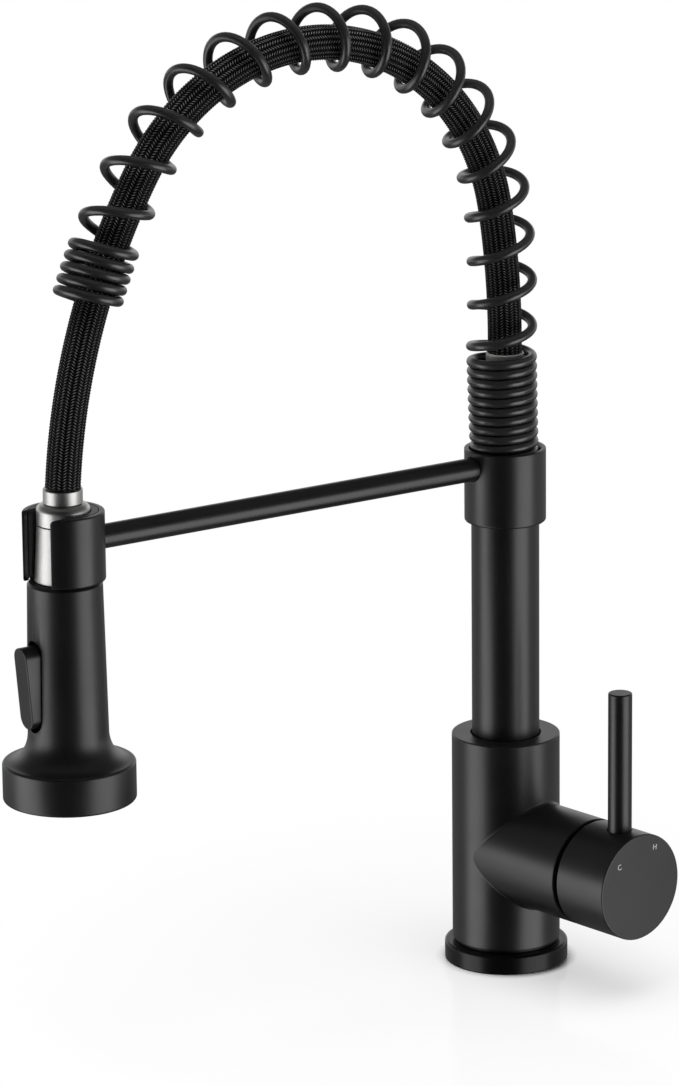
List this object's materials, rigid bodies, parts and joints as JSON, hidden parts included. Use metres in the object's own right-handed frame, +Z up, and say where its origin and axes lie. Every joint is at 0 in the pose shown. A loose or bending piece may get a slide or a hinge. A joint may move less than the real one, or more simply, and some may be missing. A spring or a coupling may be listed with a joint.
{
  "type": "pre-rinse faucet",
  "caption": "Single-hole kitchen faucet with a spring arch over a braided hose, a pull-down spray head held in an open docking ring, and a side lever with an upright rod.",
  "frame": {"origin": "centre of the base's underside, on the deck", "axes": "+Z up along the riser, -Y towards the spray head, the handle 8 degrees round from +X towards +Y"},
  "size_m": [0.1072, 0.2713, 0.4112],
  "materials": {
    "satin_black": "satin black coat on metal",
    "head_coat": "satin black coat on moulded plastic",
    "black_plastic": "plain black plastic",
    "rubber": "black rubber",
    "grey_silicone": "grey silicone",
    "polished_steel": "bright turned steel",
    "brass": "turned brass",
    "ceramic": "ground white ceramic",
    "hose_braid": "black braid",
    "spring_wire": "satin black coat on wire"
  },
  "bodies": {
    "body": {"valve_body": "satin_black", "base_ring": "satin_black", "base_gasket": "rubber", "swivel_bushing": "black_plastic", "spout_retaining_screw": "polished_steel", "cartridge_seal": "rubber", "cartridge_base": "black_plastic", "fixed_disc": "ceramic", "cartridge_housing": "black_plastic", "cartridge_nut": "brass", "dome_cover": "satin_black"},
    "rotor": {"cartridge_rotor": "black_plastic", "lever_pin": "polished_steel"},
    "handle": {"lever_stem": "brass", "handle_hub": "satin_black", "handle_rod": "satin_black", "handle_grub_screw": "polished_steel"},
    "disc": {"moving_disc": "ceramic"},
    "spout": {"riser_tube": "satin_black", "riser_foot": "brass", "lower_o_ring": "rubber", "upper_o_ring": "rubber", "arm_collar": "satin_black", "collar_set_screw": "polished_steel", "docking_arm": "satin_black", "docking_ring": "satin_black", "dock_liner": "black_plastic", "spring_seat": "brass", "hose_connector": "brass", "top_ferrule": "polished_steel", "spring": "spring_wire", "hose": "hose_braid"},
    "hose_end": {"hose_ferrule": "polished_steel", "hose_nut": "polished_steel", "hose_washer": "rubber"},
    "spray_head": {"head_sleeve": "polished_steel", "head_body": "head_coat", "spray_face": "head_coat", "nozzle_mat": "grey_silicone", "aerator": "polished_steel", "trigger_pin": "polished_steel"},
    "rocker": {"trigger": "head_coat"},
    "spool": {"diverter_spool": "polished_steel"}
  },
  "joints": [
    {"name": "spout_swivel", "type": "hinge", "parent": "body", "child": "spout", "pos_m": [0, 0, 0.09], "axis": [0, 0, 1], "continuous": true},
    {"name": "head_pull", "type": "slide", "parent": "spout", "child": "hose_end", "axis": [0, 0, -1], "range_m": [0, 0.1], "stiffness_N_per_m": 60, "springref_m": -0.1, "deforming": ["spring", "hose"]},
    {"name": "head_turn", "type": "hinge", "parent": "hose_end", "child": "spray_head", "pos_m": [0, -0.212, 0.1983], "axis": [0, 0, 1], "continuous": true},
    {"name": "trigger_press", "type": "hinge", "parent": "spray_head", "child": "rocker", "pos_m": [0, -0.2235, 0.1508], "axis": [-1, 0, 0], "range_deg": [0, 12]},
    {"name": "spool_slide", "type": "slide", "parent": "spray_head", "child": "spool", "axis": [0, 1, 0], "range_m": [0, 0.0035]},
    {"name": "handle_temperature", "type": "hinge", "parent": "body", "child": "rotor", "pos_m": [0.03763, 0.00529, 0.0488], "axis": [0.9903, 0.1392, 0], "range_deg": [-45, 45]},
    {"name": "handle_flow", "type": "hinge", "parent": "rotor", "child": "handle", "pos_m": [0.03763, 0.00529, 0.0488], "axis": [-0.1392, 0.9903, 0], "range_deg": [0, 15]},
    {"name": "disc_slide", "type": "slide", "parent": "rotor", "child": "disc", "axis": [0, 0, 1], "range_m": [0, 0.0022]}
  ],
  "couplings": [
    {"joint": "spool_slide", "follows": "trigger_press", "m_per_rad": 0.015},
    {"joint": "disc_slide", "follows": "handle_flow", "m_per_rad": 0.008}
  ]
}
